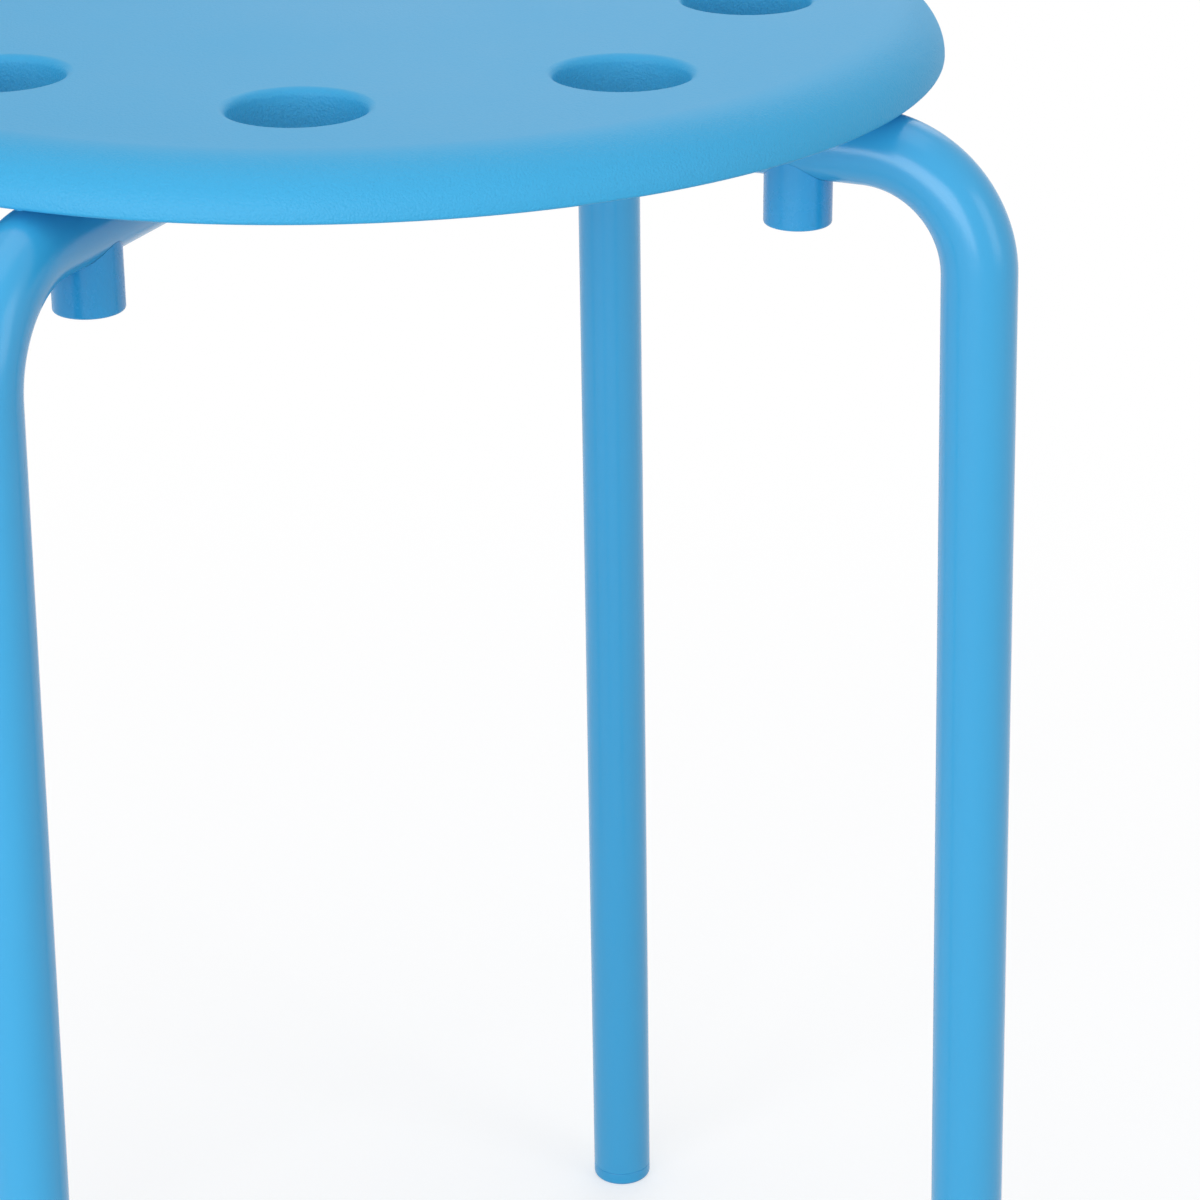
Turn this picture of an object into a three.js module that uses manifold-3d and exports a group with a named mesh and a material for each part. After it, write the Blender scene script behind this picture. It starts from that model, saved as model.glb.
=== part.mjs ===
// Stacking stool in millimetres, +Z up: a round moulded seat on a frame of bent steel tube.
// The origin is on the floor below the middle of the seat, and the through tube lies along X.
import * as THREE from "three";
import { mergeVertices } from "three/addons/utils/BufferGeometryUtils.js";
import Module from "manifold-3d";

const wasm = await Module();
wasm.setup();

// Whole stool
const stoolHeight = 451;
const legClearance = 8.75; // seat side to the inner face of a leg, room for the stool below to nest
const footRunOut = 8.85; // how much further out the foot of a leg is than its shoulder
const fit = 0.3; // gap between pieces that touch
const overrun = 2; // how far a cutter passes the face that it cuts
const weldTolerance = 1e-4; // vertices closer than this are one vertex

// Seat
const seatDiameter = 313;
const seatDepth = 13.3; // top face down to the lip
const seatWall = 3;
const edgeWidth = 16; // how far in from the side the rounding of the edge starts
const lipRadius = 1;
const holeDiameter = 33;
const holeInset = 50.8; // seat side to the centre of a hole
const holeEdgeRadius = 1.6;
const collarWall = 2.5;
const ribThickness = 2.2;
const ribRecess = 1; // rib edges end this far above the lip
const hubDiameter = 70;
const middleRingSetback = 13; // hole collar to the ring rib inside it
const bossDiameter = 17;
const saddleDepth = 2.2; // how far a boss straddles the tube
const pilotRelief = 1; // room in the boss past the point of the screw

// Frame
const tubeDiameter = 19;
const tubeWall = 1.2;
const tubeDrop = 0.8; // seat lip to the top of the tube
const bendRadius = 30; // of the centre line
const beadSize = 1.8; // weld bead, measured out from either tube

// Stacking stubs with the screws that hold them, the tube and the seat
const stubDiameter = 17.2;
const stubLength = 11.9; // below the tube, so that each further stool adds 45 to a stack
const stubSetback = 17.7; // stub centre inward of where the bend begins
const stubEdge = 0.7;
const pocketDiameter = 11.4;
const screwDiameter = 5;
const screwBite = 8.8; // how far the screw enters the boss above the tube
const screwPoint = 2.4;
const screwHeadDiameter = 9.5;
const screwHeadHeight = 3.4;
const screwHeadRounding = 1.2;
const screwHeadRecess = 1.2; // how far the head lies up inside its pocket
const crossWidth = 1.3;
const crossSpan = 5.2;
const crossDepth = 1.8;
const washerDiameter = 10;
const washerThickness = 1;
const washerPlay = 0.4; // bore of a washer or of the tube, round the screw

// Foot plugs
const soleHeight = 4.5; // tube end to the floor
const soleRounding = 1.5;
const plugLength = 22;
const plugFinDepth = 1.1;
const plugFinHeight = 2.4;

// Counts
const legNames = ["right", "rear", "left", "front"];
const holeCount = 8;
const plugFinCount = 3;
const seatSides = 64;
const hiddenSides = 36; // of a large round form that the seat hides
const edgeSteps = 7;
const filletSteps = 2;
const holeSides = 24;
const roundSides = 24;
const boreSides = 16;
const smallSides = 12;
const bendSteps = 8;

// Heights and radii that follow
const seatRadius = seatDiameter / 2;
const tubeRadius = tubeDiameter / 2;
const boreRadius = tubeRadius - tubeWall;
const lipZ = stoolHeight - seatDepth;
const tubeTopZ = lipZ - tubeDrop;
const runZ = tubeTopZ - tubeRadius;
const shoulderRadius = seatRadius + legClearance + tubeRadius;
const splay = Math.atan2(footRunOut, runZ);
const bendAngle = Math.PI / 2 - splay;
const bendTangent = bendRadius * Math.tan(bendAngle / 2);
const stubRadius = shoulderRadius - bendTangent - stubSetback;
const stubBottomZ = tubeTopZ - tubeDiameter - stubLength;
const headTopZ = stubBottomZ + screwHeadRecess + screwHeadHeight;
const washerZ = headTopZ + fit;
const pocketTopZ = washerZ + washerThickness + fit;
const screwTipZ = tubeTopZ + screwBite;
const holeCircleRadius = seatRadius - holeInset;

// Materials
const paint = (color, roughness, metalness = 0) => new THREE.MeshStandardMaterial({ color, roughness, metalness });
const seatPlastic = paint(0x4aa6de, 0.6);
const tubePaint = paint(0x3c9fe4, 0.25, 0.1);
const stubPlastic = paint(0x3a9be0, 0.35);
const footPlastic = paint(0x3896da, 0.45);
const zincPlate = paint(0xb9bcc0, 0.35, 0.9);

// A closed three.js geometry as a solid that joins and cuts
function solidOf(geometry) {
  const bare = geometry.clone();
  bare.deleteAttribute("normal");
  bare.deleteAttribute("uv");
  const merged = mergeVertices(bare, weldTolerance);
  const triangles = [];
  for (let i = 0; i < merged.index.count; i += 3) {
    const [a, b, c] = [0, 1, 2].map((k) => merged.index.getX(i + k));
    if (a !== b && b !== c && c !== a) triangles.push(a, b, c);
  }
  const make = (triVerts) =>
    new wasm.Manifold(
      new wasm.Mesh({ numProp: 3, vertProperties: merged.attributes.position.array, triVerts }),
    );
  const made = make(new Uint32Array(triangles));
  return made.volume() > 0 ? made : make(new Uint32Array(triangles.reverse()));
}

// A solid as a named mesh
function meshOf(name, solid, material) {
  const { vertProperties, triVerts } = solid.getMesh();
  const geometry = new THREE.BufferGeometry();
  geometry.setAttribute("position", new THREE.BufferAttribute(vertProperties, 3));
  geometry.setIndex(new THREE.BufferAttribute(triVerts, 1));
  const mesh = new THREE.Mesh(geometry.toNonIndexed(), material);
  mesh.geometry.computeVertexNormals();
  mesh.name = name;
  return mesh;
}

const joined = (solids) => solids.reduce((whole, piece) => whole.add(piece));

// Points of a quarter ellipse from the side, where the angle is 0, to the crown
function quarter(centreR, centreZ, widthR, heightZ, steps) {
  return Array.from({ length: steps + 1 }, (_, i) => {
    const angle = (Math.PI / 2) * (i / steps);
    return [centreR + widthR * Math.cos(angle), centreZ + heightZ * Math.sin(angle)];
  });
}

// A profile of [radius, height] pairs turned about Z
function turned(profile, sides = roundSides) {
  const geometry = new THREE.LatheGeometry(profile.map(([r, z]) => new THREE.Vector2(r, z)), sides);
  return geometry.rotateX(Math.PI / 2);
}

const rod = (radius, low, high, sides = roundSides) =>
  turned([[0, low], [radius, low], [radius, high], [0, high]], sides);

function ring(outer, inner, low, high, sides = roundSides) {
  return turned([[inner, low], [outer, low], [outer, high], [inner, high], [inner, low]], sides);
}

// A round bar along X at the height of the tubes' run
function runBar(radius, length) {
  return rod(radius, -length / 2, length / 2).rotateY(Math.PI / 2).translate(0, 0, runZ);
}

// The centre line of a bent tube, taken through its points with no even spacing
class BentLine extends THREE.Curve {
  constructor(points) {
    super();
    this.points = points;
  }
  getPoint(t, target = new THREE.Vector3()) {
    const span = t * (this.points.length - 1);
    const i = Math.min(Math.floor(span), this.points.length - 2);
    return target.lerpVectors(this.points[i], this.points[i + 1], span - i);
  }
  getUtoTmapping(u) {
    return u;
  }
}

// Points of one leg in the XZ plane, from the tube's open end up round the bend to the run
function legPoints() {
  const up = new THREE.Vector3(-Math.sin(splay), 0, Math.cos(splay));
  const end = new THREE.Vector3(shoulderRadius + footRunOut, 0, 0).addScaledVector(up, soleHeight);
  const centre = new THREE.Vector3(shoulderRadius - bendTangent, 0, runZ - bendRadius);
  const bend = Array.from({ length: bendSteps + 1 }, (_, i) => {
    const angle = splay + bendAngle * (i / bendSteps);
    return new THREE.Vector3(Math.cos(angle), 0, Math.sin(angle)).multiplyScalar(bendRadius).add(centre);
  });
  return [end, ...bend];
}

function circle(path, radius, sides) {
  const corners = Array.from({ length: sides }, (_, i) => {
    const angle = (2 * Math.PI * i) / sides;
    return new THREE.Vector2(radius * Math.cos(angle), radius * Math.sin(angle));
  });
  return path.setFromPoints([...corners, corners[0]]);
}

function bentTube(points) {
  const section = circle(new THREE.Shape(), tubeRadius, roundSides);
  section.holes.push(circle(new THREE.Path(), boreRadius, smallSides));
  const options = { steps: points.length - 1, extrudePath: new BentLine(points), bevelEnabled: false };
  return solidOf(new THREE.ExtrudeGeometry(section, options));
}

// The hole that the seat screw passes, through both walls of a tube
function screwHole() {
  const radius = screwDiameter / 2 + washerPlay;
  return solidOf(rod(radius, runZ - tubeDiameter, tubeTopZ + overrun, smallSides).translate(stubRadius, 0, 0));
}

function throughTube() {
  const right = legPoints();
  const left = right.map((point) => new THREE.Vector3(-point.x, 0, point.z)).reverse();
  const hole = screwHole();
  return bentTube([...right, ...left]).subtract(hole).subtract(hole.rotate([0, 0, 180]));
}

// One leg with half a run, coped to the through tube and welded to it round the mouth
function halfTube() {
  const inner = new THREE.Vector3(0, 0, runZ);
  const tube = bentTube([...legPoints(), inner]);
  const reach = tubeRadius + beadSize;
  const collar = rod(reach, 0, reach + beadSize).rotateY(Math.PI / 2).translate(0, 0, runZ);
  const across = (radius, length) => solidOf(runBar(radius, length).rotateZ(Math.PI / 2));
  const bore = solidOf(runBar(boreRadius, shoulderRadius));
  const bead = solidOf(collar).intersect(across(reach + fit, 4 * reach)).subtract(bore);
  return tube.add(bead).subtract(across(tubeRadius + fit, 4 * reach)).subtract(screwHole());
}

// The outline of the seat's rounded edge from lip to top, drawn in by an inset
function edgePoints(inset, steps) {
  const centreR = seatRadius - edgeWidth;
  const centreZ = lipZ + lipRadius;
  return quarter(centreR, centreZ, edgeWidth - inset, seatDepth - lipRadius - inset, steps);
}

function seatShell() {
  const lip = quarter(seatRadius - lipRadius, lipZ + lipRadius, lipRadius, -lipRadius, filletSteps).reverse();
  const outside = [...lip.slice(0, -1), ...edgePoints(0, edgeSteps), [0, stoolHeight]];
  const arch = edgePoints(seatWall, filletSteps + 1).reverse();
  const inside = [[0, stoolHeight - seatWall], ...arch, [seatRadius - seatWall, lipZ]];
  return solidOf(turned([...outside, ...inside, lip[0]], seatSides));
}

// The room that ribs, collars and bosses may fill: out to the middle of the wall
function ribRoom() {
  const inset = seatWall / 2;
  const foot = tubeTopZ - saddleDepth - overrun;
  const arch = edgePoints(inset, edgeSteps);
  return solidOf(turned([[0, foot], [seatRadius - inset, foot], ...arch, [0, stoolHeight - inset]], seatSides));
}

// Spokes at every hole and between holes, lower ones that bear on the tubes, and three rings
function seatRibs() {
  const top = stoolHeight - seatWall / 2;
  const spoke = (angle, low) => {
    const geometry = new THREE.BoxGeometry(seatDiameter, ribThickness, top - low);
    return solidOf(geometry.translate(0, 0, (top + low) / 2).rotateZ(angle));
  };
  const spokes = Array.from({ length: holeCount }, (_, i) => spoke((Math.PI * i) / holeCount, lipZ + ribRecess));
  const bearing = [0, Math.PI / 2].map((angle) => spoke(angle, tubeTopZ + fit));
  const middleRing = holeCircleRadius - holeDiameter / 2 - collarWall - middleRingSetback;
  const rings = [middleRing, holeCircleRadius].map((radius) =>
    solidOf(ring(radius + ribThickness / 2, radius - ribThickness / 2, lipZ + ribRecess, top, hiddenSides)),
  );
  const hubRadius = hubDiameter / 2;
  const hub = solidOf(ring(hubRadius, hubRadius - ribThickness, lipZ + ribRecess, top, hiddenSides));
  const pocket = solidOf(rod(hubRadius - ribThickness, lipZ - overrun, stoolHeight - seatWall, hiddenSides));
  return joined([...spokes, ...bearing, ...rings]).subtract(pocket).add(hub);
}

const holeAngles = Array.from({ length: holeCount }, (_, i) => (2 * Math.PI * (i + 0.5)) / holeCount);
const atHole = (geometry, angle) => solidOf(geometry.translate(holeCircleRadius, 0, 0).rotateZ(angle));

// Cuts a hole through the seat and rounds its upper edge
function holeCutter() {
  const radius = holeDiameter / 2;
  const flare = quarter(0, stoolHeight - holeEdgeRadius, holeEdgeRadius, holeEdgeRadius, filletSteps);
  const edge = flare.map(([r, z]) => [radius + holeEdgeRadius - r, z]);
  const foot = lipZ - overrun;
  const crown = stoolHeight + overrun;
  return turned(
    [[0, foot], [radius, foot], ...edge, [radius + holeEdgeRadius, crown], [0, crown]],
    holeSides,
  );
}

function seat() {
  const collarRadius = holeDiameter / 2 + collarWall;
  const collars = holeAngles.map((angle) =>
    atHole(rod(collarRadius, lipZ, stoolHeight - seatWall / 2, holeSides), angle),
  );
  const legAngles = legNames.map((_, i) => (2 * Math.PI * i) / legNames.length);
  const atBoss = (radius, low, high, sides) =>
    legAngles.map((angle) => solidOf(rod(radius, low, high, sides).translate(stubRadius, 0, 0).rotateZ(angle)));
  const bosses = atBoss(bossDiameter / 2, tubeTopZ - saddleDepth, stoolHeight - seatWall / 2, boreSides);
  const pilots = atBoss(screwDiameter / 2 + fit, tubeTopZ - tubeRadius, screwTipZ + pilotRelief, smallSides);
  const saddle = runBar(tubeRadius + fit, 2 * shoulderRadius);
  const saddles = [solidOf(saddle), solidOf(saddle.clone().rotateZ(Math.PI / 2))];
  const underside = joined([seatRibs(), ...collars, ...bosses]).intersect(ribRoom());
  const holes = holeAngles.map((angle) => atHole(holeCutter(), angle));
  return seatShell().add(underside).subtract(joined([...holes, ...pilots, ...saddles]));
}

// Stub: its saddle fits the underside of the tube, and a pocket in its end hides the screw head
function stackingStub() {
  const radius = stubDiameter / 2;
  const bore = screwDiameter / 2 + fit;
  const pocket = pocketDiameter / 2;
  const body = turned([
    [pocket, stubBottomZ],
    [radius - stubEdge, stubBottomZ],
    [radius, stubBottomZ + stubEdge],
    [radius, runZ],
    [bore, runZ],
    [bore, pocketTopZ],
    [pocket, pocketTopZ],
    [pocket, stubBottomZ],
  ]);
  const saddle = runBar(tubeRadius + fit, 2 * tubeDiameter);
  return solidOf(body).subtract(solidOf(saddle));
}

function seatScrew() {
  const shank = screwDiameter / 2;
  const head = screwHeadDiameter / 2;
  const footZ = headTopZ - screwHeadHeight;
  const rounding = screwHeadRounding;
  const crown = quarter(head - rounding, footZ + rounding, rounding, -rounding, filletSteps);
  const body = turned([
    [0, footZ],
    ...crown.reverse(),
    [head, headTopZ],
    [shank, headTopZ],
    [shank, screwTipZ - screwPoint],
    [0, screwTipZ],
  ], smallSides);
  const slot = new THREE.BoxGeometry(crossSpan, crossWidth, 2 * crossDepth).translate(0, 0, footZ);
  const cross = solidOf(slot).add(solidOf(slot.clone().rotateZ(Math.PI / 2)));
  return solidOf(body).subtract(cross);
}

function screwWasher() {
  const bore = screwDiameter / 2 + washerPlay;
  return solidOf(ring(washerDiameter / 2, bore, washerZ, washerZ + washerThickness, smallSides));
}

// Foot plug: finned stem inside the tube, sole of the tube's width cut level with the floor
function footPlug() {
  const stem = boreRadius * Math.cos(Math.PI / smallSides) - fit;
  const core = stem - plugFinDepth;
  const trim = tubeRadius * Math.tan(splay);
  const soleTop = soleHeight - fit;
  const rounding = quarter(tubeRadius - soleRounding, soleRounding - trim, soleRounding, -soleRounding, filletSteps);
  const sole = turned([[0, -trim], ...rounding.reverse(), [tubeRadius, soleTop], [0, soleTop]]);
  const finPitch = (plugLength - plugFinHeight) / plugFinCount;
  const fins = Array.from({ length: plugFinCount }, (_, i) => soleHeight + plugFinHeight + i * finPitch);
  const finned = fins.flatMap((z) => [[core, z], [stem, z], [core, z + plugFinHeight]]);
  const top = soleHeight + plugLength;
  const plug = turned([[0, soleRounding], [core, soleRounding], ...finned, [core, top], [0, top]], smallSides);
  const floor = new THREE.BoxGeometry(4 * tubeDiameter, 4 * tubeDiameter, tubeDiameter);
  floor.translate(0, 0, -tubeDiameter / 2);
  const [solePiece, plugPiece] = [sole, plug].map((geometry) => solidOf(geometry.rotateY(-splay)));
  return solePiece.add(plugPiece).subtract(solidOf(floor));
}

function quarterTurned(object, quarters) {
  object.rotation.z = (quarters * Math.PI) / 2;
  return object;
}

// What belongs to one leg, in a group that is turned to the leg
function legPieces(legName, i) {
  const clamp = new THREE.Group();
  clamp.position.x = stubRadius;
  clamp.add(
    meshOf(`stacking_stub_${legName}`, stackingStub(), stubPlastic),
    meshOf(`seat_screw_${legName}`, seatScrew(), zincPlate),
    meshOf(`screw_washer_${legName}`, screwWasher(), zincPlate),
  );
  const foot = meshOf(`foot_plug_${legName}`, footPlug(), footPlastic);
  foot.position.x = shoulderRadius + footRunOut;
  const leg = new THREE.Group();
  leg.add(clamp, foot);
  return quarterTurned(leg, i);
}

const stool = new THREE.Group();
stool.add(meshOf("seat", seat(), seatPlastic));
stool.add(meshOf("through_tube", throughTube(), tubePaint));
stool.add(quarterTurned(meshOf("half_tube_rear", halfTube(), tubePaint), 1));
stool.add(quarterTurned(meshOf("half_tube_front", halfTube(), tubePaint), 3));
stool.add(...legNames.map(legPieces));

export default stool;
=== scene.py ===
import math

import bmesh
import bpy
from mathutils import Matrix, Vector


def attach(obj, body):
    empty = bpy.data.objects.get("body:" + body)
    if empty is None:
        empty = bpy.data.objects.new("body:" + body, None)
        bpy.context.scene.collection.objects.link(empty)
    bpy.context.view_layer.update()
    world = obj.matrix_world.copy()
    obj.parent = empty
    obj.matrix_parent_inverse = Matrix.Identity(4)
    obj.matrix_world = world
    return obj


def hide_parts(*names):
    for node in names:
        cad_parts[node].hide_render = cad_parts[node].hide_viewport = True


# Stacking stool: moulded seat on bent steel tube. Shapes are worked out in millimetres
# and scaled to metres when a piece is finished.
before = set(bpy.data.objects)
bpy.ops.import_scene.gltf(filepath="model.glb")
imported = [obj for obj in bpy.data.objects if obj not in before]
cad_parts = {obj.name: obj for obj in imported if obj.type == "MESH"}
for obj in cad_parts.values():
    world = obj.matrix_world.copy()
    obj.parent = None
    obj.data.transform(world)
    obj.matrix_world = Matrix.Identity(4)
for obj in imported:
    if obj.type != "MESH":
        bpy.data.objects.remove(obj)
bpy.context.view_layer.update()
mm = 0.001

# The camera stands at the photograph's viewing angle
view = {
    "place": (0.4413, -0.8402, 0.6776),
    "heading": 23.65,
    "pitch": 22.62,
    "roll": -0.35,
    "lens": 112.24,
}


def makeCamera():
    heading, pitch, roll = (math.radians(view[key]) for key in ("heading", "pitch", "roll"))
    camera = bpy.data.objects.new("photoCamera", bpy.data.cameras.new("photoCamera"))
    camera.data.lens = view["lens"]
    turn = Matrix.Rotation(heading, 4, "Z") @ Matrix.Rotation(math.pi / 2 - pitch, 4, "X")
    camera.matrix_world = Matrix.Translation(view["place"]) @ turn @ Matrix.Rotation(roll, 4, "Z")
    bpy.context.scene.collection.objects.link(camera)
    bpy.context.scene.camera = camera


makeCamera()
print("camera set")

stool = {  # lengths that several pieces share
    "height": 451,
    "seatDiameter": 313,
    "seatDepth": 13.3,
    "legClearance": 8.75,  # seat side to a leg
    "footRunOut": 8.85,
    "tubeDiameter": 19,
    "tubeDrop": 0.8,  # seat lip to the crown of a tube
    "bendRadius": 30,
    "stubLength": 11.9,
    "stubSetback": 17.7,
    "screwDiameter": 5,
    "screwBite": 8.8,
    "touch": 0.06,  # gap between pieces that bear on each other
    "overrun": 3,  # how far a cutter passes the face that it cuts
}
precision = {
    "merge": 1e-4,  # millimetres within which points become one
    "plane": 1e-5,  # millimetres within which a point lies on a cutting plane
    "sharp": 30,  # degrees from which an edge is rounded
    "crease": 40,  # degrees from which an edge is shaded as a crease
    "barEdgeSteps": 4,
}
legNames = ["right", "rear", "left", "front"]

seatRadius = stool["seatDiameter"] / 2
lipZ = stool["height"] - stool["seatDepth"]
tubeRadius = stool["tubeDiameter"] / 2
tubeTopZ = lipZ - stool["tubeDrop"]
runZ = tubeTopZ - tubeRadius
shoulderRadius = seatRadius + stool["legClearance"] + tubeRadius
splay = math.atan2(stool["footRunOut"], runZ)
bendAngle = math.pi / 2 - splay
bendSetback = stool["bendRadius"] * math.tan(bendAngle / 2)
bendCentre = Vector((shoulderRadius - bendSetback, 0, runZ - stool["bendRadius"]))
stubRadius = bendCentre.x - stool["stubSetback"]
stubBottomZ = tubeTopZ - stool["tubeDiameter"] - stool["stubLength"]
screwTipZ = tubeTopZ + stool["screwBite"]


def drawLine(bm, vert, *points):
    # Sections are drawn in the XZ plane, X outward and Z up
    for x, z in points:
        vert = bmesh.ops.extrude_vert_indiv(bm, verts=[vert])["verts"][0]
        vert.co = (x, 0, z)
    return vert


def drawArc(bm, vert, centre, degrees, steps, tall=1.0):
    # Swings on from a point, anticlockwise; tall makes the arc an ellipse
    before = set(bm.verts)
    pivot = Vector((centre[0], 0, centre[1]))
    angle = math.radians(degrees)
    made = bmesh.ops.spin(bm, geom=[vert], cent=pivot, axis=(0, -1, 0), angle=angle, steps=steps)
    drawn = [v for v in bm.verts if v not in before]
    bmesh.ops.scale(bm, vec=(1, 1, tall), space=Matrix.Translation(-pivot), verts=drawn)
    return made["geom_last"][0]


def startSection(x, z):
    bm = bmesh.new()
    return bm, bm.verts.new((x, 0, z))


def merged(bm):
    near = precision["merge"]
    bmesh.ops.remove_doubles(bm, verts=bm.verts[:], dist=near)
    bmesh.ops.dissolve_degenerate(bm, dist=near, edges=bm.edges[:])
    return bm


def cleaned(bm):
    merged(bm)
    bmesh.ops.recalc_face_normals(bm, faces=bm.faces[:])
    return bm


def turnedOnAxis(bm, sides):
    # Turns a section that starts and ends on the axis, or closes on itself, into a solid
    bmesh.ops.spin(
        bm, geom=bm.verts[:] + bm.edges[:], cent=(0, 0, 0), axis=(0, 0, 1), angle=2 * math.pi,
        steps=sides, use_merge=True,
    )
    return cleaned(bm)


def cutByPlane(bm, point, normal):
    # Keeps what lies on the side that the normal points to, and closes the cut
    geom = bm.verts[:] + bm.edges[:] + bm.faces[:]
    made = bmesh.ops.bisect_plane(
        bm, geom=geom, dist=precision["plane"], plane_co=point, plane_no=normal, clear_inner=True)
    rim = [g for g in made["geom_cut"] if isinstance(g, bmesh.types.BMEdge)]
    bmesh.ops.edgeloop_fill(bm, edges=rim)


def closeSection(bm, first, last):
    bm.edges.new((last, first))


def roundBar(radius, low, high, sides, edge=0.0):
    # An upright round bar from its own axis, its lower edge rounded where an edge is given
    bm, pen = startSection(0, low)
    pen = drawLine(bm, pen, (radius - edge, low))
    if edge:
        pen = drawArc(bm, pen, (radius - edge, low + edge), 90, precision["barEdgeSteps"])
    drawLine(bm, pen, (radius, high), (0, high))
    return turnedOnAxis(bm, sides)


def runBar(radius, sides, length=stool["seatDiameter"] * 2):
    # A round bar along X on the axis of the tubes' run
    bm = roundBar(radius, -length / 2, length / 2, sides)
    bmesh.ops.rotate(bm, verts=bm.verts[:], matrix=Matrix.Rotation(math.pi / 2, 3, "Y"))
    bmesh.ops.translate(bm, verts=bm.verts[:], vec=(0, 0, runZ))
    return bm


def block(size, centre):
    bm = bmesh.new()
    bmesh.ops.create_cube(bm, size=1, matrix=Matrix.Translation(centre) @ Matrix.Diagonal((*size, 1)))
    return bm


def addCopy(target, source, matrix):
    mesh = bpy.data.meshes.new("copy")
    source.to_mesh(mesh)
    mesh.transform(matrix)
    if matrix.determinant() < 0:
        mesh.flip_normals()
    target.from_mesh(mesh)
    bpy.data.meshes.remove(mesh)


def aroundZ(degrees, offset=0.0):
    return Matrix.Rotation(math.radians(degrees), 4, "Z") @ Matrix.Translation((offset, 0, 0))


def ringOf(source, degrees, offset=0.0):
    # Copies of one solid round the axis, which don't touch each other
    bm = bmesh.new()
    for angle in degrees:
        addCopy(bm, source, aroundZ(angle, offset))
    return bm


def combine(base, other, operation):
    pair = []
    for bm in (base, other):
        mesh = bpy.data.meshes.new("part")
        bm.to_mesh(mesh)
        pair.append(bpy.data.objects.new("part", mesh))
        bpy.context.scene.collection.objects.link(pair[-1])
    modifier = pair[0].modifiers.new("combine", "BOOLEAN")
    modifier.operation = operation
    modifier.solver = "MANIFOLD"
    modifier.object = pair[1]
    bpy.context.view_layer.update()
    graph = bpy.context.evaluated_depsgraph_get()
    made = bpy.data.meshes.new_from_object(pair[0].evaluated_get(graph), depsgraph=graph)
    base.clear()
    base.from_mesh(made)
    for piece in pair:
        mesh = piece.data
        bpy.data.objects.remove(piece)
        bpy.data.meshes.remove(mesh)
    bpy.data.meshes.remove(made)
    return merged(base)


def cut(base, *cutters):
    for cutter in cutters:
        combine(base, cutter, "DIFFERENCE")
        cutter.free()
    return base


def join(base, *others):
    for other in others:
        combine(base, other, "UNION")
        other.free()
    return base


def foldAngle(edge):
    return edge.calc_face_angle(0) if edge.is_manifold else 0


def roundEdges(bm, width, steps, wanted):
    sharp = math.radians(precision["sharp"])
    edges = [e for e in bm.edges if foldAngle(e) > sharp and wanted(e)]
    bmesh.ops.bevel(
        bm, geom=edges, offset=width, offset_type="OFFSET", segments=steps, profile=0.5,
        affect="EDGES", clamp_overlap=True, material=-1,
    )
    return bm


def finished(name, bm, material, replaced, flatFirst=True):
    # Scales to metres, shades it smooth up to a crease, and hands it to the frame
    bmesh.ops.scale(bm, vec=(mm, mm, mm), verts=bm.verts[:])
    mesh = bpy.data.meshes.new(name)
    bm.to_mesh(mesh)
    bm.free()
    mesh.shade_smooth()
    mesh.set_sharp_from_angle(angle=math.radians(precision["crease"]))
    mesh.materials.append(material)
    piece = bpy.data.objects.new(name, mesh)
    bpy.context.scene.collection.objects.link(piece)
    if flatFirst:  # broad flat faces keep their own normals beside small roundings
        modifier = piece.modifiers.new("flatFirst", "WEIGHTED_NORMAL")
        modifier.mode = "FACE_AREA"
        modifier.keep_sharp = True
    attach(piece, "root")
    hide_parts(*replaced)
    return piece


def newGroup(name, inputs, outputs):
    group = bpy.data.node_groups.new(name, "ShaderNodeTree")
    for label, kind, value in inputs:
        socket = group.interface.new_socket(name=label, in_out="INPUT", socket_type=kind)
        if value is not None:
            socket.default_value = value
    for label, kind in outputs:
        group.interface.new_socket(name=label, in_out="OUTPUT", socket_type=kind)
    nodes, links = group.nodes, group.links
    return group, nodes.new("NodeGroupInput"), nodes.new("NodeGroupOutput"), nodes, links


def mathNode(nodes, links, operation, first, second=None, third=None, clamp=False):
    node = nodes.new("ShaderNodeMath")
    node.operation = operation
    node.use_clamp = clamp
    for socket, value in zip(node.inputs, (first, second, third)):
        if isinstance(value, bpy.types.NodeSocket):
            links.new(value, socket)
        elif value is not None:
            socket.default_value = value
    return node.outputs[0]


def scaledPlace(nodes, links, place, size):
    # Metres to pattern cells of a given size in millimetres
    perCell = mathNode(nodes, links, "DIVIDE", 1 / mm, size)
    node = nodes.new("ShaderNodeVectorMath")
    node.operation = "SCALE"
    links.new(place, node.inputs[0])
    links.new(perCell, node.inputs["Scale"])
    return node.outputs[0]


def noiseNode(nodes, links, place, detail, roughness, output="Fac"):
    node = nodes.new("ShaderNodeTexNoise")
    node.inputs["Scale"].default_value = 1
    node.inputs["Detail"].default_value = detail
    node.inputs["Roughness"].default_value = roughness
    links.new(place, node.inputs["Vector"])
    return node.outputs[output]


pattern = {  # each noise is given as its detail and roughness
    "wander": 0.9, "wanderNoise": (1.0, 0.5), "smoothness": 0.35, "domeTop": 0.85,
    "creaseGain": 2.2, "creaseShift": -0.9, "pebbleNoise": (3.0, 0.6), "driftNoise": (3.0, 0.55),
    "coatNoise": (1.0, 0.4), "smearNoise": (5.0, 0.65), "smearGain": 3.0, "smearShift": -1.1,
}


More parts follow.
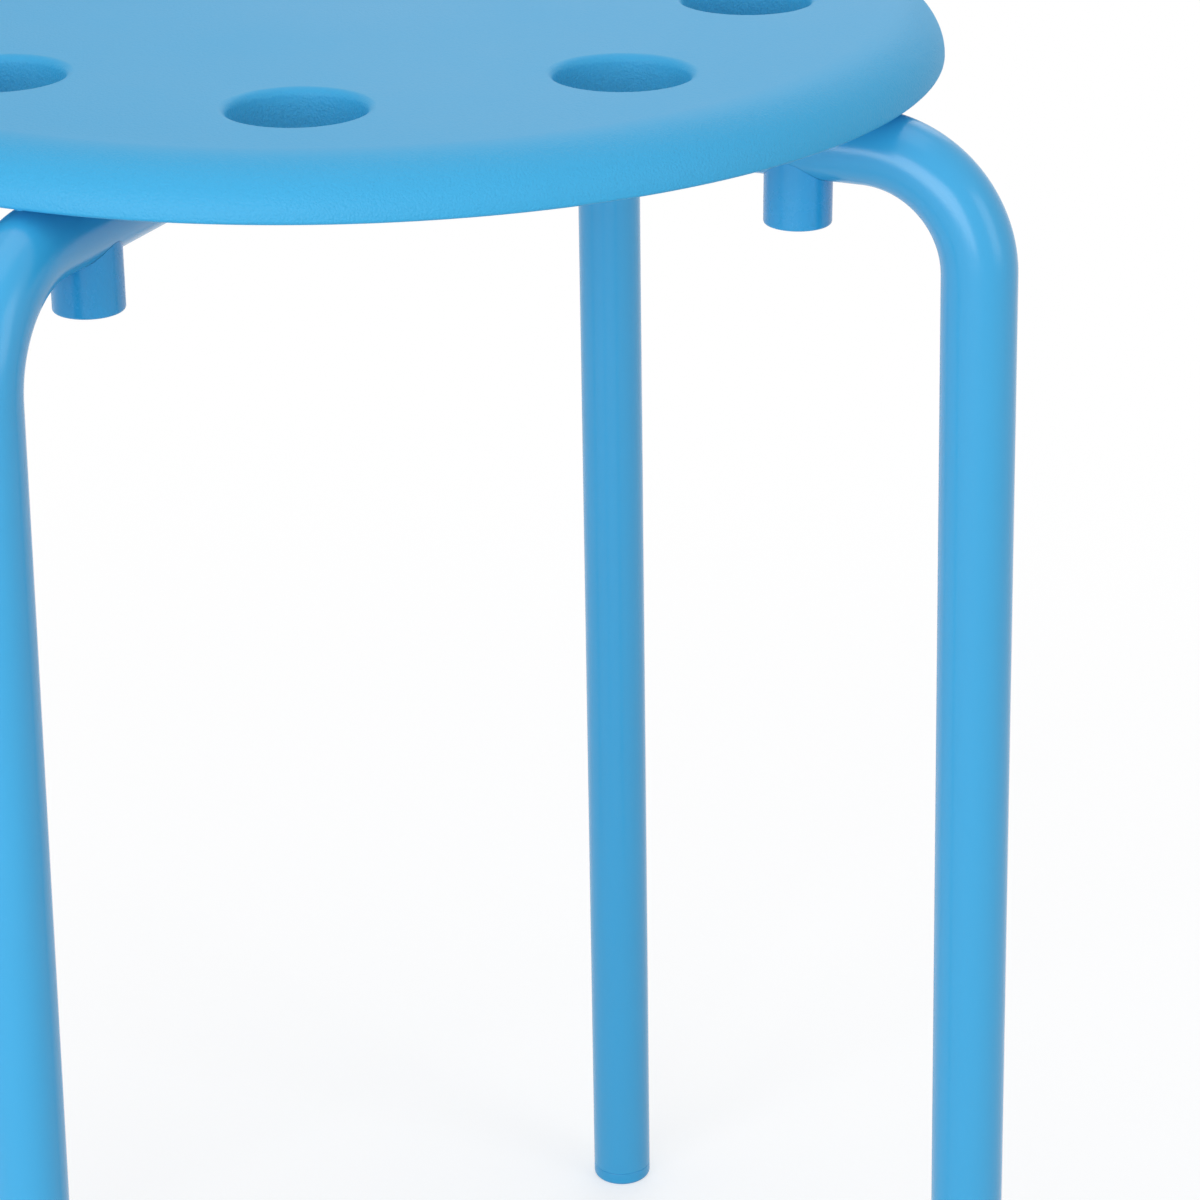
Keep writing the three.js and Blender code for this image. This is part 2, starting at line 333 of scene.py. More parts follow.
def makePebbleGrain():
    # Fine irregular pebbles of a textured mould: their height, and the creases between them
    group, given, result, nodes, links = newGroup(
        "pebbleGrain",
        [
            ("Place", "NodeSocketVector", None), ("Pebble Size", "NodeSocketFloat", 1.0),
            ("Unevenness", "NodeSocketFloat", 0.4),
        ],
        [("Height", "NodeSocketFloat"), ("Creases", "NodeSocketFloat")],
    )
    place = scaledPlace(nodes, links, given.outputs["Place"], given.outputs["Pebble Size"])
    wander = nodes.new("ShaderNodeVectorMath")
    wander.operation = "MULTIPLY_ADD"
    links.new(noiseNode(nodes, links, place, *pattern["wanderNoise"], "Color"), wander.inputs[0])
    wander.inputs[1].default_value = (pattern["wander"],) * 3
    links.new(place, wander.inputs[2])
    cells = nodes.new("ShaderNodeTexVoronoi")
    cells.feature = "SMOOTH_F1"
    cells.inputs["Scale"].default_value = 1
    cells.inputs["Smoothness"].default_value = pattern["smoothness"]
    links.new(wander.outputs[0], cells.inputs["Vector"])
    dome = mathNode(nodes, links, "SUBTRACT", pattern["domeTop"], cells.outputs["Distance"])
    fine = noiseNode(nodes, links, place, *pattern["pebbleNoise"])
    height = mathNode(nodes, links, "MULTIPLY_ADD", fine, given.outputs["Unevenness"], dome)
    links.new(height, result.inputs["Height"])
    creases = mathNode(
        nodes, links, "MULTIPLY_ADD", cells.outputs["Distance"],
        pattern["creaseGain"], pattern["creaseShift"], clamp=True)
    links.new(creases, result.inputs["Creases"])
    return group


def makeToneDrift():
    # Slow change of tone over a surface, as in any dyed plastic or coat of paint
    group, given, result, nodes, links = newGroup(
        "toneDrift",
        [
            ("Place", "NodeSocketVector", None), ("Color", "NodeSocketColor", (0.5, 0.5, 0.5, 1)),
            ("Patch Size", "NodeSocketFloat", 60.0), ("Amount", "NodeSocketFloat", 0.05),
        ],
        [("Color", "NodeSocketColor"), ("Drift", "NodeSocketFloat")],
    )
    place = scaledPlace(nodes, links, given.outputs["Place"], given.outputs["Patch Size"])
    noise = noiseNode(nodes, links, place, *pattern["driftNoise"])
    drift = mathNode(nodes, links, "SUBTRACT", noise, 0.5)
    brightness = mathNode(nodes, links, "MULTIPLY_ADD", drift, given.outputs["Amount"], 1.0)
    tone = nodes.new("ShaderNodeHueSaturation")
    links.new(given.outputs["Color"], tone.inputs["Color"])
    links.new(brightness, tone.inputs["Value"])
    links.new(tone.outputs["Color"], result.inputs["Color"])
    links.new(drift, result.inputs["Drift"])
    return group


def makeSmoothCoat():
    # A sprayed or moulded gloss surface: fine ripple on a slow sway, and faint handling smears
    group, given, result, nodes, links = newGroup(
        "smoothCoat",
        [
            ("Place", "NodeSocketVector", None), ("Ripple Size", "NodeSocketFloat", 3.0),
            ("Sway Size", "NodeSocketFloat", 12.0), ("Sway Height", "NodeSocketFloat", 3.0),
            ("Smear Size", "NodeSocketFloat", 25.0),
        ],
        [("Height", "NodeSocketFloat"), ("Smears", "NodeSocketFloat")],
    )
    ripple, sway, smear = (
        scaledPlace(nodes, links, given.outputs["Place"], given.outputs[f"{kind} Size"])
        for kind in ("Ripple", "Sway", "Smear"))
    slow = noiseNode(nodes, links, sway, *pattern["coatNoise"])
    fine = noiseNode(nodes, links, ripple, *pattern["coatNoise"])
    height = mathNode(nodes, links, "MULTIPLY_ADD", slow, given.outputs["Sway Height"], fine)
    links.new(height, result.inputs["Height"])
    patches = noiseNode(nodes, links, smear, *pattern["smearNoise"])
    smears = mathNode(
        nodes, links, "MULTIPLY_ADD", patches, pattern["smearGain"], pattern["smearShift"], clamp=True)
    links.new(smears, result.inputs["Smears"])
    return group


groups = {"grain": makePebbleGrain(), "tone": makeToneDrift(), "coat": makeSmoothCoat()}


def newMaterial(name):
    material = bpy.data.materials.new(name)
    material.use_nodes = True
    nodes, links = material.node_tree.nodes, material.node_tree.links
    place = nodes.new("ShaderNodeTexCoord").outputs["Object"]
    return material, nodes["Principled BSDF"], place, nodes, links


def useGroup(nodes, links, name, place, **values):
    node = nodes.new("ShaderNodeGroup")
    node.node_tree = groups[name]
    links.new(place, node.inputs["Place"])
    for label, value in values.items():
        node.inputs[label].default_value = value
    return node.outputs


def setBump(nodes, links, shader, height, millimetres):
    bump = nodes.new("ShaderNodeBump")
    bump.inputs["Distance"].default_value = millimetres * mm
    links.new(height, bump.inputs["Height"])
    links.new(bump.outputs["Normal"], shader.inputs["Normal"])


def addRoughness(nodes, links, shader, base, mask, amount):
    links.new(mathNode(nodes, links, "MULTIPLY_ADD", mask, amount, base), shader.inputs["Roughness"])


seatFinish = {
    "color": (0.038, 0.402, 0.735, 1), "patch": 70.0, "drift": 0.05, "driftRoughness": 0.10,
    "pebble": 0.60, "uneven": 0.3, "depth": 0.31, "roughness": 0.52, "creaseRoughness": 0.12,
    # the crease settings paint shade into the creases between pebbles, darker and bluer
    "creaseShade": 0.22, "creaseShadeTint": (0.80, 0.88, 0.94, 1), "ior": 1.46,
    "topFrom": 0.4465, "topTo": 0.4507, "topGrain": 0.14,  # heights in metres; little grain on the top
    "edgeFrom": 0.126, "edgeTo": 0.136, "edgeGrain": 0.41,  # distances from the axis in metres
}


def fadeAlong(nodes, links, distance, start, end, least):
    # Falls from one to its least value between two points of a distance
    fade = nodes.new("ShaderNodeMapRange")
    for label, value in zip(("From Min", "From Max", "To Min", "To Max"), (start, end, 1.0, least)):
        fade.inputs[label].default_value = value
    links.new(distance, fade.inputs["Value"])
    return fade.outputs[0]


def grainAndCreaseShadeLeft(nodes, links, place):
    # How much grain and painted crease shade is left: all of it in the holes, less round the edge, least
    # on the top face
    split = nodes.new("ShaderNodeSeparateXYZ")
    links.new(place, split.inputs[0])
    x, y, z = split.outputs
    squares = [mathNode(nodes, links, "MULTIPLY", side, side) for side in (x, y)]
    outward = mathNode(nodes, links, "SQRT", mathNode(nodes, links, "ADD", *squares))
    top, edge = (
        fadeAlong(nodes, links, distance, *(seatFinish[part + key] for key in ("From", "To", "Grain")))
        for part, distance in (("top", z), ("edge", outward)))
    return mathNode(nodes, links, "MINIMUM", top, edge)


def makeSeatPlastic():
    material, shader, place, nodes, links = newMaterial("seatPlastic")
    tone = useGroup(nodes, links, "tone", place, **{
        "Color": seatFinish["color"], "Patch Size": seatFinish["patch"], "Amount": seatFinish["drift"]})
    grain = useGroup(nodes, links, "grain", place, **{
        "Pebble Size": seatFinish["pebble"], "Unevenness": seatFinish["uneven"]})
    shade = nodes.new("ShaderNodeMix")
    shade.data_type, shade.blend_type = "RGBA", "MULTIPLY"
    shade.inputs["B"].default_value = seatFinish["creaseShadeTint"]
    grainAndShadeKept = grainAndCreaseShadeLeft(nodes, links, place)
    creased = mathNode(nodes, links, "MULTIPLY", grain["Creases"], grainAndShadeKept)
    # painted shade: the creases between pebbles coloured darker and bluer, most in the holes, least on
    # the top face
    paintedCreaseShade = mathNode(nodes, links, "MULTIPLY", creased, seatFinish["creaseShade"])
    links.new(paintedCreaseShade, shade.inputs["Factor"])
    links.new(tone["Color"], shade.inputs["A"])
    links.new(shade.outputs["Result"], shader.inputs["Base Color"])
    drifted = mathNode(
        nodes, links, "MULTIPLY_ADD", tone["Drift"],
        seatFinish["driftRoughness"], seatFinish["roughness"])
    addRoughness(nodes, links, shader, drifted, creased, seatFinish["creaseRoughness"])
    shader.inputs["IOR"].default_value = seatFinish["ior"]
    height = mathNode(nodes, links, "MULTIPLY", grain["Height"], grainAndShadeKept)
    setBump(nodes, links, shader, height, seatFinish["depth"])
    return material


coatFinish = {
    "color": (0.040, 0.395, 0.745, 1), "patch": 90.0, "drift": 0.04, "roughness": 0.20,
    "smearRoughness": 0.06, "ripple": 2.6, "sway": 12.0, "swayHeight": 9.0, "smear": 22.0,
    "depth": 0.012, "ior": 1.5,
}


def makeTubeCoat():
    material, shader, place, nodes, links = newMaterial("tubeCoat")
    tone = useGroup(nodes, links, "tone", place, **{
        "Color": coatFinish["color"], "Patch Size": coatFinish["patch"], "Amount": coatFinish["drift"]})
    coat = useGroup(nodes, links, "coat", place, **{
        "Ripple Size": coatFinish["ripple"], "Sway Size": coatFinish["sway"],
        "Sway Height": coatFinish["swayHeight"], "Smear Size": coatFinish["smear"]})
    links.new(tone["Color"], shader.inputs["Base Color"])
    addRoughness(
        nodes, links, shader, coatFinish["roughness"], coat["Smears"], coatFinish["smearRoughness"])
    shader.inputs["IOR"].default_value = coatFinish["ior"]
    setBump(nodes, links, shader, coat["Height"], coatFinish["depth"])
    return material


mouldedFinish = {
    "stub": {"color": (0.026, 0.368, 0.735, 1), "roughness": 0.22, "ripple": 1.4, "depth": 0.008},
    "foot": {"color": (0.040, 0.395, 0.745, 1), "roughness": 0.30, "ripple": 0.8, "depth": 0.014},
    "patch": 12.0, "drift": 0.06, "sway": 6.0, "swayHeight": 2.0, "smear": 6.0,
    "smearRoughness": 0.10, "ior": 1.46,
}


def makeMoulded(name, kind):
    finish = mouldedFinish[kind]
    material, shader, place, nodes, links = newMaterial(name)
    tone = useGroup(nodes, links, "tone", place, **{
        "Color": finish["color"], "Patch Size": mouldedFinish["patch"], "Amount": mouldedFinish["drift"]})
    coat = useGroup(nodes, links, "coat", place, **{
        "Ripple Size": finish["ripple"], "Sway Size": mouldedFinish["sway"],
        "Sway Height": mouldedFinish["swayHeight"], "Smear Size": mouldedFinish["smear"]})
    links.new(tone["Color"], shader.inputs["Base Color"])
    addRoughness(
        nodes, links, shader, finish["roughness"], coat["Smears"], mouldedFinish["smearRoughness"])
    shader.inputs["IOR"].default_value = mouldedFinish["ior"]
    setBump(nodes, links, shader, coat["Height"], finish["depth"])
    return material


zincFinish = {
    "color": (0.62, 0.63, 0.65, 1), "patch": 2.0, "drift": 0.25, "roughness": 0.27,
    "smearRoughness": 0.15, "ripple": 0.35, "sway": 2.0, "swayHeight": 1.0, "depth": 0.006,
}


def makeZincPlate():
    material, shader, place, nodes, links = newMaterial("zincPlate")
    tone = useGroup(nodes, links, "tone", place, **{
        "Color": zincFinish["color"], "Patch Size": zincFinish["patch"], "Amount": zincFinish["drift"]})
    coat = useGroup(nodes, links, "coat", place, **{
        "Ripple Size": zincFinish["ripple"], "Sway Size": zincFinish["sway"],
        "Sway Height": zincFinish["swayHeight"], "Smear Size": zincFinish["patch"]})
    links.new(tone["Color"], shader.inputs["Base Color"])
    addRoughness(
        nodes, links, shader, zincFinish["roughness"], coat["Smears"], zincFinish["smearRoughness"])
    shader.inputs["Metallic"].default_value = 1
    setBump(nodes, links, shader, coat["Height"], zincFinish["depth"])
    return material


finishes = {
    "seat": makeSeatPlastic(), "tube": makeTubeCoat(), "zinc": makeZincPlate(),
    "stub": makeMoulded("stubPlastic", "stub"), "foot": makeMoulded("footPlastic", "foot"),
}
print("finishes made:", ", ".join(finishes))

# Seat: a shell with a rounded edge, finger holes in collars, and a ribbed underside
seatShape = {
    "wall": 3, "edgeWidth": 16, "edgeSteps": 18, "lipRadius": 1, "lipSteps": 5, "lipWall": 2.8,
    "sides": 256, "holeCount": 8, "holeDiameter": 33, "holeInset": 50.8, "holeSides": 80,
    "holeEdge": 2.1, "holeEdgeSteps": 8, "holeFoot": 0.5, "holeFootSteps": 4, "collarWall": 2.5,
    "rib": 2.2, "ribRecess": 1, "archSteps": 10, "ringSetback": 13,
    "hubDiameter": 70, "hubSides": 128, "hubSteps": 4, "bossDiameter": 17, "bossSides": 48,
    "saddleDepth": 2.2, "saddlePlay": 0.1, "saddleSides": 160, "pilotRelief": 1, "pilotSides": 32,
    "bearingGap": 0.3, "bearingSteps": 2, "fillet": 1.0, "filletSteps": 3,
    "step": 0.1,  # keeps faces that would fall together apart
    "footEdge": 0.35,
}
holeCircle = seatRadius - seatShape["holeInset"]
collarRadius = seatShape["holeDiameter"] / 2 + seatShape["collarWall"]
ribZ = lipZ + seatShape["ribRecess"]
ceilingZ = stool["height"] - seatShape["wall"]
archX = seatRadius - seatShape["edgeWidth"]
archZ = lipZ + seatShape["lipRadius"]
sector = 180 / seatShape["holeCount"]  # degrees from one rib spoke to the next
holeAngles = [sector + 2 * sector * i for i in range(seatShape["holeCount"])]
legAngles = [90 * i for i in range(len(legNames))]


def seatBody():
    top, edge, lip = stool["height"], seatShape["edgeWidth"], seatShape["lipRadius"]
    bm, pen = startSection(0, ribZ)
    inner = seatRadius - seatShape["lipWall"]
    pen = drawLine(bm, pen, (inner, ribZ), (inner, lipZ), (seatRadius - lip, lipZ))
    pen = drawArc(bm, pen, (seatRadius - lip, lipZ + lip), 90, seatShape["lipSteps"])
    pen = drawArc(bm, pen, (archX, archZ), 90, seatShape["edgeSteps"], (top - archZ) / edge)
    drawLine(bm, pen, (0, top))
    return turnedOnAxis(bm, seatShape["sides"])


def pocketSection(inner, outer):
    # One rib pocket's section; the outermost follows the shell's arch
    low = lipZ - stool["overrun"]
    bm, first = startSection(inner, low)
    if outer:
        pen = drawLine(bm, first, (outer, low), (outer, ceilingZ))
    else:
        wide = seatShape["edgeWidth"] - seatShape["wall"]
        pen = drawLine(bm, first, (archX + wide, low), (archX + wide, archZ))
        tall = (ceilingZ - archZ) / wide
        pen = drawArc(bm, pen, (archX, archZ), 90, seatShape["archSteps"], tall)
    pen = drawLine(bm, pen, (inner, ceilingZ))
    closeSection(bm, first, pen)
    bmesh.ops.contextual_create(bm, geom=bm.edges[:])
    return bm


def pocket(inner, outer, atBoss=False):
    # The room between two spokes: the upper one runs to a hole, the lower one between holes
    bm = pocketSection(inner, outer)
    geom = bm.verts[:] + bm.edges[:] + bm.faces[:]
    upper = math.radians(sector)
    steps = round(seatShape["sides"] * sector / 360)
    bmesh.ops.spin(bm, geom=geom, cent=(0, 0, 0), axis=(0, 0, 1), angle=upper, steps=steps)
    cleaned(bm)
    half = seatShape["rib"] / 2
    for normal in (Vector((0, 1, 0)), Vector((math.sin(upper), -math.cos(upper), 0))):
        cutByPlane(bm, normal * half, normal)
    cleaned(bm)
    reach = lipZ - 2 * stool["overrun"], stool["height"] + stool["overrun"]
    if not outer or outer > holeCircle - collarRadius:
        cut(bm, ringOf(roundBar(collarRadius, *reach, seatShape["holeSides"]), [sector], holeCircle))
    if atBoss:
        bossRoom = roundBar(seatShape["bossDiameter"] / 2, *reach, seatShape["bossSides"])
        cut(bm, ringOf(bossRoom, [0], stubRadius))
    above = ribZ - stool["overrun"] / 2
    return roundEdges(
        bm, seatShape["fillet"], seatShape["filletSteps"],
        lambda e: max(v.co.z for v in e.verts) > above,
    )


def ribPockets():
    half = seatShape["rib"] / 2
    middle = holeCircle - collarRadius - seatShape["ringSetback"]
    kinds = {
        "inner": pocket(seatShape["hubDiameter"] / 2, middle - half),
        "middle": pocket(middle + half, holeCircle - half),
        "outer": pocket(holeCircle + half, None),
        "outerAtBoss": pocket(holeCircle + half, None, atBoss=True),
    }
    bm = bmesh.new()
    mirrored = Matrix.Diagonal((1, -1, 1, 1))
    for i in range(2 * seatShape["holeCount"]):
        near = i + i % 2  # the spoke between holes that this pocket lies on
        place = aroundZ(sector * near) @ (mirrored if i % 2 else Matrix.Identity(4))
        outer = "outerAtBoss" if near % 4 == 0 else "outer"
        for kind in ("inner", "middle", outer):
            addCopy(bm, kinds[kind], place)
    for made in kinds.values():
        made.free()
    return bm


def holeCutter():
    radius, edge, foot = seatShape["holeDiameter"] / 2, seatShape["holeEdge"], seatShape["holeFoot"]
    top = stool["height"]
    bm, pen = startSection(0, lipZ - stool["overrun"])
    pen = drawLine(bm, pen, (radius + foot, lipZ - stool["overrun"]), (radius + foot, lipZ))
    pen = drawArc(bm, pen, (radius + foot, lipZ + foot), -90, seatShape["holeFootSteps"])
    pen = drawLine(bm, pen, (radius, top - edge))
    pen = drawArc(bm, pen, (radius + edge, top - edge), -90, seatShape["holeEdgeSteps"])
    drawLine(bm, pen, (radius + edge, top + stool["overrun"]), (0, top + stool["overrun"]))
    return turnedOnAxis(bm, seatShape["holeSides"])


def hubPocket():
    radius, fillet = seatShape["hubDiameter"] / 2 - seatShape["rib"], seatShape["fillet"]
    bm, pen = startSection(0, lipZ - stool["overrun"])
    pen = drawLine(bm, pen, (radius, lipZ - stool["overrun"]), (radius, ceilingZ - fillet))
    pen = drawArc(bm, pen, (radius - fillet, ceilingZ - fillet), 90, seatShape["hubSteps"])
    drawLine(bm, pen, (0, ceilingZ))
    return turnedOnAxis(bm, seatShape["hubSides"])


def makeSeat():
    step, edge = seatShape["step"], seatShape["footEdge"]
    inWall = stool["height"] - seatShape["wall"] / 2
    seat = cut(seatBody(), ribPockets(), hubPocket())
    collar = roundBar(collarRadius - step, lipZ, inWall, seatShape["holeSides"], edge)
    saddleZ = tubeTopZ - seatShape["saddleDepth"]
    boss = roundBar(
        seatShape["bossDiameter"] / 2 - step, saddleZ, inWall, seatShape["bossSides"], edge)
    inner = seatShape["hubDiameter"] / 2 - seatShape["rib"] / 2
    outer = seatRadius - seatShape["wall"] / 2
    low, high = tubeTopZ + seatShape["bearingGap"], ribZ + seatShape["ribRecess"]
    size = (outer - inner, seatShape["rib"] - 2 * step, high - low)
    bearing = block(size, ((outer + inner) / 2, 0, (high + low) / 2))
    roundEdges(
        bearing, edge, seatShape["bearingSteps"], lambda e: max(v.co.z for v in e.verts) < lipZ)
    join(seat, ringOf(collar, holeAngles, holeCircle), ringOf(bearing, legAngles))
    join(seat, ringOf(boss, legAngles, stubRadius))
    pilotZ = screwTipZ + seatShape["pilotRelief"]
    pilotRadius = stool["screwDiameter"] / 2 + step
    pilot = roundBar(pilotRadius, lipZ - tubeRadius, pilotZ, seatShape["pilotSides"])
    saddle = runBar(tubeRadius + seatShape["saddlePlay"], seatShape["saddleSides"])
    cut(seat, ringOf(holeCutter(), holeAngles, holeCircle), ringOf(pilot, legAngles, stubRadius))
    cut(seat, ringOf(saddle, [90]), saddle)
    return finished("seat_moulding", seat, finishes["seat"], ["seat"])


makeSeat()
print("seat moulded")

# Frame: one tube runs through, and two half tubes are coped and welded to it
tubeShape = {
    "wall": 1.2, "sides": 72, "bendSteps": 36, "soleHeight": 4.5, "screwPlay": 0.4,
    "screwSides": 32, "copeSides": 144,
}
beadShape = {
    "radius": 1.85, "ripple": 0.085, "pitch": 1.7, "stepsPerRipple": 6, "sides": 18,
    "overshoot": 4,  # steps that each half runs past its two ends, into the other half
}


def ringEdges(made):
    verts = {g for g in made if isinstance(g, bmesh.types.BMVert)}
    edges = [g for g in made if isinstance(g, bmesh.types.BMEdge) and verts.issuperset(g.verts)]
    return list(verts), edges


def straightOn(bm, edges, way):
    verts, edges = ringEdges(bmesh.ops.extrude_edge_only(bm, edges=edges)["geom"])
    bmesh.ops.translate(bm, verts=verts, vec=way)
    return edges


def bendOn(bm, edges, centre):
    geom = list({v for e in edges for v in e.verts}) + edges
    made = bmesh.ops.spin(
        bm, geom=geom, cent=centre, axis=(0, -1, 0), angle=bendAngle, steps=tubeShape["bendSteps"])
    return ringEdges(made["geom_last"])[1]


def bentTube(bothLegs):
    # From an open foot end up the leg, round the bend and along the run
    lean = Matrix.Rotation(-splay, 4, "Y")
    up = lean @ Vector((0, 0, 1))
    foot = Vector((shoulderRadius + stool["footRunOut"], 0, 0)) + up * tubeShape["soleHeight"]
    bendStart = bendCentre + stool["bendRadius"] * Vector((math.cos(splay), 0, math.sin(splay)))
    bm = bmesh.new()
    bmesh.ops.create_circle(
        bm, segments=tubeShape["sides"], radius=tubeRadius, matrix=Matrix.Translation(foot) @ lean)
    edges = straightOn(bm, bm.edges[:], bendStart - foot)
    edges = bendOn(bm, edges, bendCentre)
    if bothLegs:
        edges = straightOn(bm, edges, (-2 * bendCentre.x, 0, 0))
        edges = bendOn(bm, edges, Vector((-bendCentre.x, 0, bendCentre.z)))
        down = foot - bendStart
        straightOn(bm, edges, (-down.x, 0, down.z))
    else:
        straightOn(bm, edges, (-bendCentre.x, 0, 0))
    cleaned(bm)
    bmesh.ops.solidify(bm, geom=bm.faces[:], thickness=tubeShape["wall"])
    return cleaned(bm)


def screwHole():
    radius = stool["screwDiameter"] / 2 + tubeShape["screwPlay"]
    return roundBar(radius, stubBottomZ, stool["height"], tubeShape["screwSides"])


def sweep(places, sides):
    # A closed bar through a row of places, each a matrix that also holds its radius
    bm = bmesh.new()
    bmesh.ops.create_circle(bm, segments=sides, radius=1, cap_ends=True, matrix=places[0])
    edges, last = bm.edges[:], places[0]
    for place in places[1:]:
        verts, edges = ringEdges(bmesh.ops.extrude_edge_only(bm, edges=edges)["geom"])
        bmesh.ops.transform(bm, matrix=place @ last.inverted(), verts=verts)
        last = place
    bmesh.ops.edgeloop_fill(bm, edges=edges)
    return cleaned(bm)


def weldBead():
    # Rippled fillet on the two half ellipses where a half tube meets the through tube
    # The joint's ellipse is root 2 times as wide as tall, so half its outline is about this long
    length = math.pi * tubeRadius * math.sqrt(1.5)
    ripples = round(length / beadShape["pitch"])
    count = ripples * beadShape["stepsPerRipple"]
    over = beadShape["overshoot"]
    halves = []
    for side in (1, -1):
        places = []
        for i in range(-over, count + over + 1):
            turn = math.pi * (i / count - 0.5)
            along = Vector((-math.sin(turn), -side * math.sin(turn), math.cos(turn))).normalized()
            point = Vector((math.cos(turn), side * math.cos(turn), math.sin(turn))) * tubeRadius
            outward = Vector((math.cos(turn), side * math.cos(turn), 2 * math.sin(turn))).normalized()
            outward = (outward - along * outward.dot(along)).normalized()
            ripple = abs(math.sin(math.pi * i / beadShape["stepsPerRipple"])) - 0.5
            swell = 1 + beadShape["ripple"] * ripple
            turned = Matrix((outward, along.cross(outward), along)).transposed().to_4x4()
            size = Matrix.Scale(beadShape["radius"] * swell, 4)
            places.append(Matrix.Translation(point + Vector((0, 0, runZ))) @ turned @ size)
        halves.append(sweep(places, beadShape["sides"]))
    return join(*halves)


def makeThroughTube():
    tube = bentTube(bothLegs=True)
    cut(tube, ringOf(screwHole(), [0, 180], stubRadius))
    finished(
        "through_tube_steel", tube, finishes["tube"], ["through_tube"], flatFirst=False)


def makeHalfTubes():
    tube = join(bentTube(bothLegs=False), weldBead())
    across = runBar(tubeRadius + stool["touch"] / 2, tubeShape["copeSides"])
    bmesh.ops.rotate(across, verts=across.verts[:], matrix=Matrix.Rotation(math.pi / 2, 3, "Z"))
    size = 4 * tubeRadius  # clears the joint on all sides
    bore = runBar(tubeRadius - tubeShape["wall"] - stool["touch"], tubeShape["sides"], size)
    otherHalf = block((size, size, size), ((stool["touch"] - size) / 2, 0, runZ))
    cut(tube, bore, across, ringOf(screwHole(), [0], stubRadius), otherHalf)
    for name, angle in (("rear", 90), ("front", 270)):
        turned = bmesh.new()
        addCopy(turned, tube, aroundZ(angle))
        node = f"half_tube_{name}"
        finished(f"{node}_steel", turned, finishes["tube"], [node], flatFirst=False)
    tube.free()


makeThroughTube()
makeHalfTubes()
print("frame bent and welded")

# Each leg also has a seat screw, its washer, a stacking stub round them and a foot plug
screwShape = {
    "head": 9.5, "headHeight": 3.4, "recess": 1.2, "crown": 1.5, "crownSteps": 7, "point": 2.4,
    "crossWide": 1.3, "crossLong": 5.2, "crossDeep": 1.8, "crossTaper": 0.72,
    "sides": 48,
}
headTopZ = stubBottomZ + screwShape["recess"] + screwShape["headHeight"]


def seatScrew():
    shank, head, crown = stool["screwDiameter"] / 2, screwShape["head"] / 2, screwShape["crown"]
    foot = headTopZ - screwShape["headHeight"]
    bm, pen = startSection(0, foot)
    pen = drawLine(bm, pen, (head - crown, foot))
    pen = drawArc(bm, pen, (head - crown, foot + crown), 90, screwShape["crownSteps"])
    pen = drawLine(bm, pen, (head, headTopZ), (shank, headTopZ))
    drawLine(bm, pen, (shank, screwTipZ - screwShape["point"]), (0, screwTipZ))
    turnedOnAxis(bm, screwShape["sides"])
    deep = screwShape["crossDeep"]
    for angle in (0, 90):
        slot = block((screwShape["crossLong"], screwShape["crossWide"], 2 * deep), (0, 0, foot))
        top = [v for v in slot.verts if v.co.z > foot]
        bmesh.ops.scale(slot, vec=(screwShape["crossTaper"], screwShape["crossTaper"], 1), verts=top)
        bmesh.ops.rotate(slot, verts=slot.verts[:], matrix=Matrix.Rotation(math.radians(angle), 3, "Z"))
        cut(bm, slot)
    return bm


washerShape = {
    "diameter": 10, "thickness": 1, "play": 0.4, "edge": 0.18, "edgeSteps": 3, "gap": 0.05,
}
washerZ = headTopZ + washerShape["gap"]


def screwWasher():
    outer, inner = washerShape["diameter"] / 2, stool["screwDiameter"] / 2 + washerShape["play"]
    low, high, edge = washerZ, washerZ + washerShape["thickness"], washerShape["edge"]
    bm, first = startSection(inner, low)
    pen = drawLine(bm, first, (outer - edge, low))
    pen = drawArc(bm, pen, (outer - edge, low + edge), 90, washerShape["edgeSteps"])
    pen = drawLine(bm, pen, (outer, high), (inner, high))
    closeSection(bm, first, pen)
    return turnedOnAxis(bm, screwShape["sides"])


stubShape = {
    "diameter": 17.2, "edge": 0.7, "edgeSteps": 6, "pocket": 11.4, "borePlay": 0.3, "sides": 72,
}
pocketTopZ = washerZ + washerShape["thickness"] + washerShape["gap"]


def stackingStub():
    radius, edge = stubShape["diameter"] / 2, stubShape["edge"]
    bore, hollow = stool["screwDiameter"] / 2 + stubShape["borePlay"], stubShape["pocket"] / 2
    lead = edge / 2
    bm, first = startSection(hollow + lead, stubBottomZ)
    pen = drawLine(bm, first, (radius - edge, stubBottomZ))
    pen = drawArc(bm, pen, (radius - edge, stubBottomZ + edge), 90, stubShape["edgeSteps"])
    pen = drawLine(bm, pen, (radius, runZ), (bore, runZ), (bore, pocketTopZ), (hollow, pocketTopZ))
    pen = drawLine(bm, pen, (hollow, stubBottomZ + lead))
    closeSection(bm, first, pen)
    turnedOnAxis(bm, stubShape["sides"])
    return cut(bm, runBar(tubeRadius + stool["touch"], tubeShape["copeSides"]))


footShape = {
    "rounding": 1.5, "roundingSteps": 8, "length": 22, "finDepth": 1.1, "finHeight": 2.4,
    "finCount": 3, "sides": 72, "shoulder": 0.35, "shoulderSteps": 3, "gap": 0.15, "inset": 0.03,
}


